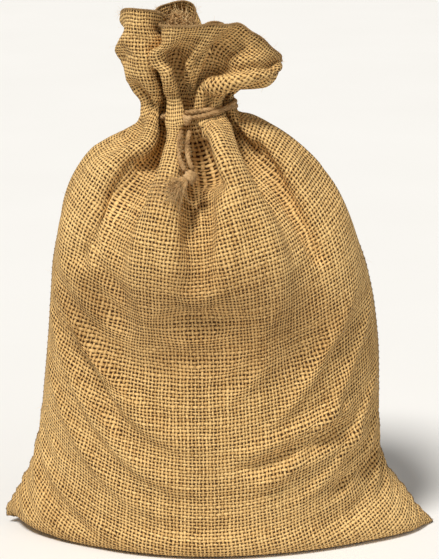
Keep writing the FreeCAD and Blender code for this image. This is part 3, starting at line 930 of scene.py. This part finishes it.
    def pins(self, head, body, ear):
        """How strongly each point is held to its goal."""
        u = self.u
        v = self.v[:, None]
        side = np.minimum(u, np.minimum(np.abs(u - FLAT_WIDTH), ROUND - u))[None, :]
        up = ramp(self.above, -8, 30)
        corner = np.exp(-((side / 45) ** 2) - (v / 60) ** 2)
        edge = 0.5 * bell(side, 30) * np.clip((480 - v) / 150, 0.25, 1) * (self.above < -10)
        front = np.interp(u, [0, 20, 110, 120, 300, 330, 780, 810], [1, 2, 2, 3, 3, 1, 1, 1])[None, :]
        rim = ramp(v, 585, 15)
        return head * up * (1 + rim * front) + body * (1 - up) + ear * (corner + edge)

    def part(self, gap):
        """Keeps cloth that lies near other cloth at least gap away from it."""
        points = self.points.reshape(-1, 3)
        cell = np.floor(points / gap).astype(np.int64)
        cell -= cell.min(0)
        size = cell.max(0) + 3
        key = (cell[:, 0] * size[1] + cell[:, 1]) * size[2] + cell[:, 2]
        order = np.argsort(key, kind="stable")
        keys = key[order]
        moves = np.zeros_like(points)
        counts = np.zeros(len(points))
        row, col = np.divmod(np.arange(len(points)), self.cols)
        cells = ((x - 1, y - 1, z - 1) for x, y, z in np.ndindex(3, 3, 3))
        shifts = [(x * size[1] + y) * size[2] + z for x, y, z in cells]
        for shift in (s for s in shifts if s >= 0):
            low = np.searchsorted(keys, key + shift, "left")
            high = np.searchsorted(keys, key + shift, "right")
            for s in range(int((high - low).max())):
                a = np.nonzero(low + s < high)[0]
                b = order[low[a] + s]
                if shift == 0:
                    a, b = a[b > a], b[b > a]
                rows_off = np.abs(row[a] - row[b])
                cols_off = np.abs(col[a] - col[b])
                cols_off = np.minimum(cols_off, self.cols - cols_off)
                apart = points[b] - points[a]
                length = np.sqrt((apart * apart).sum(1)) + 1e-9
                keep = ((rows_off > PART_REACH) | (cols_off > PART_REACH)) & (length < gap)
                a, b, apart, length = a[keep], b[keep], apart[keep], length[keep]
                move = apart * ((length - gap) / length * 0.5 * PART_STRENGTH)[:, None]
                np.add.at(moves, a, move)
                np.add.at(moves, b, -move)
                np.add.at(counts, a, 1)
                np.add.at(counts, b, 1)
        points = points + moves / np.maximum(counts, 1)[:, None]
        self.points = points.reshape(self.rows, self.cols, 3)


def finer(points):
    """The same cloth on a grid with twice as many rows and columns."""
    rows, cols = points.shape[:2]
    wide = np.zeros((rows, cols * 2, 3))
    wide[:, 0::2] = points
    ends = np.roll(points, 1, 1) + np.roll(points, -2, 1)
    wide[:, 1::2] = (9 * (points + np.roll(points, -1, 1)) - ends) / 16
    tall = np.zeros((rows * 2 - 1, cols * 2, 3))
    tall[0::2] = wide
    before = np.vstack([wide[:1] * 2 - wide[1:2], wide[:-2]])
    after = np.vstack([wide[2:], wide[-1:] * 2 - wide[-2:-1]])
    tall[1::2] = (9 * (wide[:-1] + wide[1:]) - (before + after)) / 16
    return tall


def solve_cloth():
    start = start_shape(*COARSE_GRID)
    coarse = Cloth(start, start, 0)
    random = np.random.default_rng(CLOTH_SEED)
    coarse.points += random.normal(0, 0.3, start.shape) * (coarse.above < -30)[..., None]
    for i in range(COARSE_STEPS):
        pin = coarse.pins(0.08, 0.02 * (1 - i / COARSE_STEPS), 0.12)
        coarse.step(suck=0.2, bend=0.3, shear=0.25, damp=0.9, pin=pin)
    fine = Cloth(finer(coarse.points), finer(coarse.goal), 4)
    pin = fine.pins(0.03, 0.0, 0.06)
    for i in range(FINE_STEPS):
        fine.step(suck=0.15, bend=0.35, shear=0.25, damp=0.88, pin=pin)
        if i % PART_EVERY == PART_EVERY - 1:
            fine.part(PART_GAP)
    return finer(fine.points)


def grid_normals(points):
    """Outward normals of the cloth's grid of points."""
    across = np.roll(points, -1, 1) - np.roll(points, 1, 1)
    return unit(np.cross(across, np.gradient(points, axis=0)))


# Folds pressed into the front: the ends (x, z), how deep, and half its width
CREASES = [
    ((-140, 250), (-96, 122), 2.4, 10.0),
    ((-128, 205), (-92, 160), 1.2, 8.0),
    ((-23, 392), (-12, 349), 19.0, 10.0),
    ((-24, 392), (-20, 358), 8.0, 5.0),
    ((-76, 356), (-98, 322), 8.0, 11.0),
    ((-94, 328), (-122, 277), 10.0, 12.0),
    ((88, 276), (34, 368), 8.0, 6.0),
    ((-70, 212), (46, 204), 10.0, 46.0),
    ((-30, 236), (-6, 228), 2.0, 17.0),
    ((28, 100), (112, 132), -4.8, 9.0),
    ((22, 88), (104, 118), 3.8, 7.0),
    ((40, 74), (126, 106), -4.6, 8.0),
    ((112, 60), (156, 84), 5.0, 8.0),
    ((120, 44), (150, 66), -2.4, 9.0),
    ((-60, 60), (20, 52), 1.6, 16.0),
    ((-150, 96), (-120, 60), 2.4, 10.0),
    ((60, 210), (120, 180), 1.6, 12.0),
    ((-22, 330), (-26, 300), 4.5, 5.5),
    ((-22, 338), (2, 344), 3.5, 4.5),
]
# The same on the front of the ruffle
RUFFLE_CREASES = [
    ((18, 476), (-20, 446), 5.0, 7.0),
    ((-20, 446), (-27, 414), 3.0, 5.0),
    ((-38, 450), (-28, 414), 6.0, 4.0),
]
# Places that puff out: u, height above the tie along the cloth, half sizes in u and v, how far
PUFFS = [
    (260, 30, 24, 24, 4.0),
    (24, 60, 26, 16, -4.0),
    (45, 30, 30, 26, 3.0),
]


# How far the folds at the left of the neck bulge over the twine, and how far from it that reaches
TIE_COVER = 0.24
TIE_COVER_HALF = 10.0


def hide_tie(points, u):
    """Folds at the left of the neck bulge out over the twine."""
    wide, deep, tall = to_tie(points)
    now = np.hypot(wide / NECK_HALF[0], deep / NECK_HALF[1])
    share = np.interp(u, [0, 20, 168, 190, 775, 805], [1, 1, 1, 0, 0, 1])[None, :]
    near = bell(tall, TIE_COVER_HALF) * (np.abs(points[..., 2] - TIE_CENTRE[2]) < 40)
    grow = 1 + TIE_COVER * share * near * ramp(now, 0.35, 0.4)
    return from_tie(wide * grow, deep * grow, tall)


def shape_by_hand(points):
    """The folds that the solver doesn't make, and a smooth rim."""
    rows, cols = points.shape[:2]
    u = np.arange(cols) * ROUND / cols
    v = np.linspace(0, FLAT_LENGTH, rows)
    above = v[:, None] - tie_line(u)[None, :]
    for _ in range(30):
        even = (np.roll(points, 1, 1) + 2 * points + np.roll(points, -1, 1)) / 4
        share = ramp(v, 575, 30)[:, None, None]
        points = points + (even - points) * share
    normal = grid_normals(points)
    move = np.zeros((rows, cols))
    x, y, z = points[..., 0], points[..., 1], points[..., 2]
    below = ramp(-y, 10, 30) * ramp(-above, 5, 10)
    ruffle = ramp(-y, 8, 14) * ramp(above, 6, 10) * (normal[..., 1] < 0)
    folds = [(*crease, below) for crease in CREASES] + [(*crease, ruffle) for crease in RUFFLE_CREASES]
    for (x0, z0), (x1, z1), deep, half, front in folds:
        long = math.hypot(x1 - x0, z1 - z0)
        way = ((x1 - x0) / long, (z1 - z0) / long)
        along = (x - x0) * way[0] + (z - z0) * way[1]
        near = np.clip(along, 0, long)
        off = np.hypot(x - x0 - near * way[0], z - z0 - near * way[1])
        side = (z - z0) * way[0] - (x - x0) * way[1]
        lip = bell(side - 1.6 * half, half) * np.exp(-(((along / long - 0.5) / 0.5) ** 4))
        move -= deep * (bell(off, half) - 0.35 * lip) * front
    for place, height, half_u, half_v, out in PUFFS:
        move += out * bell(round_off(u, place), half_u)[None, :] * bell(above - height, half_v)
    return hide_tie(points + normal * move[..., None], u)


CLOTH = shape_by_hand(solve_cloth())
ROWS, COLS = CLOTH.shape[:2]
HALF = COLS // 2
NORMALS = grid_normals(CLOTH)
NORMALS[0] = NORMALS[1]


def shell(name, cols, material):
    """A closed sheet of cloth of real thickness, from the columns given."""
    outer = CLOTH[:, cols % COLS]
    inner = outer - NORMALS[:, cols % COLS] * CLOTH_THICKNESS
    wide = len(cols)
    u = np.broadcast_to(cols * ROUND / COLS, (ROWS, wide))
    v = np.broadcast_to(np.linspace(0, FLAT_LENGTH, ROWS)[:, None], (ROWS, wide))
    uv = np.stack([u, v], -1).reshape(-1, 2) * MM
    i = np.arange(ROWS - 1)[:, None] * wide
    j = np.arange(wide - 1)[None, :]
    quads = np.stack([i + j, i + j + 1, i + wide + j + 1, i + wide + j], -1).reshape(-1, 4)
    back = ROWS * wide
    faces = [quads, quads[:, ::-1] + back]
    top = (ROWS - 1) * wide
    across = np.arange(wide - 1)
    up = np.arange(ROWS - 1) * wide
    borders = (
        (across + 1, across),
        (top + across, top + across + 1),
        (up, up + wide),
        (up + 2 * wide - 1, up + wide - 1),
    )
    for a, b in borders:
        faces.append(np.stack([a, b, b + back, a + back], -1))
    points = np.concatenate([outer.reshape(-1, 3), inner.reshape(-1, 3)])
    return add_mesh(name, points, np.concatenate(faces), np.concatenate([uv, uv]), material)


def bend_with_ruffle(piece, slot, *nodes):
    """Bakes the piece's placing into its points and hides the nodes it stands for; the slot is not used."""
    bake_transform(piece)
    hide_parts(*nodes)


FRONT = shell("front_cloth", np.arange(0, HALF + 1), HESSIAN)
BACK = shell("back_cloth", np.arange(HALF, COLS + 1), HESSIAN)
bend_with_ruffle(FRONT, "hessian", "front_panel", "ruffle_front")
bend_with_ruffle(BACK, "hessian", "back_panel", "ruffle_back")


# ---- seams and the mouth's selvedge
def cloth_line(rows, cols, out):
    """Points on the cloth, moved outwards."""
    return CLOTH[rows, cols % COLS] + NORMALS[rows, cols % COLS] * out


WELT_RADIUS = 1.1
THREAD_RADIUS = 0.4
EDGE_RADIUS = 1.3
STITCH_EVERY = 6.0


def resample(path, step):
    lengths = run(path)
    at = np.linspace(0, lengths[-1], max(2, int(lengths[-1] / step)))
    return np.stack([np.interp(at, lengths, path[:, k]) for k in range(3)], -1)


WHIP_STEP = 0.75


def welt(name, path):
    return rope(name, path, WELT_RADIUS, SELVEDGE, plies=2, lay=9.0, groove=0.15, around=10)


def stitches(name, path):
    """A thread wound round a seam, one turn for each stitch."""
    path = resample(path, WHIP_STEP)
    _, side, up = frames_along(path)
    a = np.arange(len(path)) * WHIP_STEP / STITCH_EVERY * 2 * np.pi
    path = path + (WELT_RADIUS + 0.1) * (side * np.cos(a)[:, None] + up * np.sin(a)[:, None])
    return rope(name, path, THREAD_RADIUS, STITCH, plies=2, lay=2.5, groove=0.2, around=6)


all_rows = np.arange(ROWS)
for side, column in (("left", 0), ("right", HALF)):
    centre = cloth_line(all_rows[2:], np.full(ROWS - 2, column), -0.5)
    bend_with_ruffle(welt(f"{side}_side_seam", centre), "hessian", f"side_seam_{side}")
    bend_with_ruffle(stitches(f"{side}_seam_stitches", centre), "seam_thread", f"side_seam_thread_{side}")
bottom_line = (CLOTH[0, :HALF + 1] + CLOTH[0, (COLS - np.arange(HALF + 1)) % COLS]) / 2
bottom_line = resample(bottom_line, 2.5)
bottom_line[:, 2] = np.maximum(bottom_line[:, 2], 2.6)
dress(welt("bottom_seam_fold", bottom_line), "sack", "hessian", "bottom_seam")
dress(stitches("bottom_seam_stitches", bottom_line), "sack", "seam_thread", "bottom_seam_thread")
for side, cols, node in (("front", np.arange(0, HALF + 1), "mouth_hem_front"),
                         ("back", np.arange(HALF, COLS + 1), "mouth_hem_back")):
    edge = cloth_line(np.full(len(cols), ROWS - 1), cols, -0.6)
    hem = rope(f"mouth_selvedge_{side}", resample(edge, 1.2), EDGE_RADIUS, SELVEDGE, plies=2, lay=4.0,
               groove=0.3, around=10)
    bend_with_ruffle(hem, "hessian_hem", node)


# ---- loose fibres of the cloth
FLUFF_CENTRE = np.array([-36.0, 9.0, 474.0])
FLUFF_HALF = np.array([11.0, 8.0, 11.0])


CLOTH_HAIRS = 650
MOUTH_HAIRS = 420
MOUTH_THREADS = 230


def cloth_hairs(name, rows, cols, lengths, radius, seed):
    """Fibres that stand off the cloth at the places given by row and column."""
    random = np.random.default_rng(seed)
    roots = CLOTH[rows, cols % COLS]
    out = NORMALS[rows, cols % COLS]
    ways = out * 0.55 + random.normal(0, 0.55, roots.shape)
    strands = zip(roots + out * 0.1, ways, lengths)
    piece = fibres(name, strands, radius, 0.9, seed, drop=0.25, segments=5)
    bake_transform(piece)


def loose_fibres():
    random = np.random.default_rng(FIBRE_SEED + 20)
    rows = random.integers(18, ROWS - 2, CLOTH_HAIRS)
    cols = random.integers(0, COLS, CLOTH_HAIRS)
    lengths = random.uniform(3, 9, CLOTH_HAIRS)
    cloth_hairs("cloth_fibres", rows, cols, lengths, 0.09, FIBRE_SEED + 21)
    rows = np.full(MOUTH_HAIRS, ROWS - 1)
    cols = random.integers(0, COLS, MOUTH_HAIRS)
    lengths = random.uniform(2, 8, MOUTH_HAIRS)
    cloth_hairs("mouth_fibres", rows, cols, lengths, 0.11, FIBRE_SEED + 22)


loose_fibres()


def mouth_fluff():
    """A tangle of frayed threads in the fold at the back of the mouth."""
    random = np.random.default_rng(FIBRE_SEED + 30)
    roots = []
    ways = []
    for _ in range(MOUTH_THREADS):
        out = unit(random.normal(0, 1, 3))
        roots.append(FLUFF_CENTRE + out * FLUFF_HALF * random.uniform(0.5, 1.0))
        ways.append(np.cross(out, random.normal(0, 1, 3)))
    lengths = random.uniform(8, 17, MOUTH_THREADS)
    piece = fibres("mouth_fluff", zip(roots, ways, lengths), 0.45, 2.0, FIBRE_SEED + 31)
    dress(piece, "ruffle", "hessian_hem")


mouth_fluff()


# ---- the filling, inside the cloth
HEAP_AROUND = 64
HEAP_HEIGHTS = np.linspace(6, 300, 44)


def filling_heap():
    a = np.arange(HEAP_AROUND) * 2 * np.pi / HEAP_AROUND
    rings = []
    for z in HEAP_HEIGHTS:
        left, right, front, back = FILL_TABLE[int(z - FILL_HEIGHTS[0])]
        lump = 1 + 0.012 * np.sin(5 * a + z / 19) + 0.010 * np.sin(9 * a - z / 11)
        close = min(1, math.sqrt((z - 2) / 22)) * (0.90 - 0.30 * max(0, (z - 200) / 100) ** 2)
        x = (left + right) / 2 - (right - left) / 2 * np.cos(a) * lump * close
        y = -np.where(np.sin(a) > 0, 0.9 * front, back) * np.sin(a) * lump * close
        rings.append(np.stack([x, y, np.full(HEAP_AROUND, z)], -1))
    faces = tube_faces(len(rings), HEAP_AROUND)
    return add_mesh("filling_heap", np.array(rings), faces, None, GRAIN)


dress(filling_heap(), "sack", "loose_filling", "filling")


# ---- twine round the neck
SWAPS = 2
TURN_OUT = 2.2
TWIST_OUT = 1.9
TUCK = 5.0


def turn_path(phase):
    """One of the tie's two turns; they change places as they go round the neck."""
    theta = np.linspace(0, 2 * np.pi, 181)[:-1]
    swap = SWAPS * theta + phase
    left = np.exp(-(((np.degrees(theta) - 28 + 180) % 360 - 180) / 48) ** 4)
    out = TURN_OUT + TWIST_OUT * np.cos(swap) - TUCK * left
    lift = TURN_GAP * np.sin(swap)
    wide = -(NECK_HALF[0] + out) * np.cos(theta)
    y = -(NECK_HALF[1] + out) * np.sin(theta)
    return from_tie(wide, y, lift)


def fuzz(name, path, body, count, reach, seed):
    """Short hairs that stand off the twine."""
    random = np.random.default_rng(seed)
    tangent, side, up = frames_along(path)
    strands = []
    for _ in range(count):
        i = random.integers(len(path))
        a = random.uniform(0, 2 * math.pi)
        out = side[i] * math.cos(a) + up[i] * math.sin(a)
        way = out + tangent[i] * random.normal(0, 1.1)
        strands.append((path[i] + out * TWINE_RADIUS * 0.8, way, random.uniform(0.35, 1) * reach))
    piece = fibres(name, strands, 0.13, 0.8, seed, drop=0.2, segments=5)
    dress(piece, body, "jute_twine")


for name, phase, node in (("lower_turn", -0.5 * math.pi, "tie_turn_lower"),
                          ("upper_turn", 0.5 * math.pi, "tie_turn_upper")):
    path = turn_path(phase)
    turn = rope(name, path, TWINE_RADIUS, TWINE, groove=0.36, closed=True)
    dress(turn, "sack", "jute_twine", node)
    fuzz(f"{name}_hairs", path, "sack", 150, 7.0, FIBRE_SEED + len(name))
KNOT_SINKS = np.array([-1.0, 3.0, -2.5])
knot_place = node_centre("tie_knot") + KNOT_SINKS
neck_knot = wrapped_knot("neck_knot", knot_place, (0.45, 0.0, 0.9), 3.2, 2.2, 2.7, 8)
dress(neck_knot, "sack", "jute_twine", "tie_knot")
# The hairs start well below the neck knot, so that they don't brush it when the tails are lifted
HAIRS_FROM = ROUTE_STEPS * 2 // 5
for tail, line in tail_lines.items():
    fuzz(f"{tail}_hairs", line[HAIRS_FROM:], "tails", TAILS[tail][2], 9.0, FIBRE_SEED + 3 + len(tail))
ring = np.array([(math.cos(a) * 3, math.sin(a) * 3, 0) for a in range(12)])
fuzz("end_knot_hairs", node_centre("tail_knot") + ring, "tails", 130, 10.0, FIBRE_SEED + 7)


# ---- floor and light
def add_floor():
    size = 6.0
    mesh = bpy.data.meshes.new("floor")
    corners = [(-size, -size, 0), (size, -size, 0), (size, size, 0), (-size, size, 0)]
    mesh.from_pydata(corners, [], [(0, 1, 2, 3)])
    n = Nodes("pale_floor", rough=0.7, specular=0.1, sheen=0.0)
    shade = n.noise(n.place(), 3.0, 2.0)
    mesh.materials.append(n.finish(n.mix(shade, (0.84, 0.84, 0.83), (0.88, 0.88, 0.875))))
    add_object("floor", mesh)


def add_sun(name, place, strength, spread, colour):
    data = bpy.data.lights.new(name, "SUN")
    data.energy = strength
    data.angle = math.radians(spread)
    data.color = colour
    light = add_object(name, data)
    light.location = place
    light.rotation_euler = (-Vector(place)).to_track_quat("-Z", "Y").to_euler()


def add_world():
    world = bpy.data.worlds.new("studio")
    world.use_nodes = True
    background = next(n for n in world.node_tree.nodes if n.type == "BACKGROUND")
    background.inputs["Color"].default_value = (1.0, 0.99, 0.97, 1)
    background.inputs["Strength"].default_value = 0.22
    bpy.context.scene.world = world


add_floor()
add_world()
add_sun("key", (-0.68, -0.90, 1.80), 3.15, 14, (1.0, 0.97, 0.92))
add_sun("fill", (1.0, -0.6, 0.7), 0.45, 60, (1.0, 0.96, 0.90))
bpy.context.scene.view_settings.view_transform = "Standard"
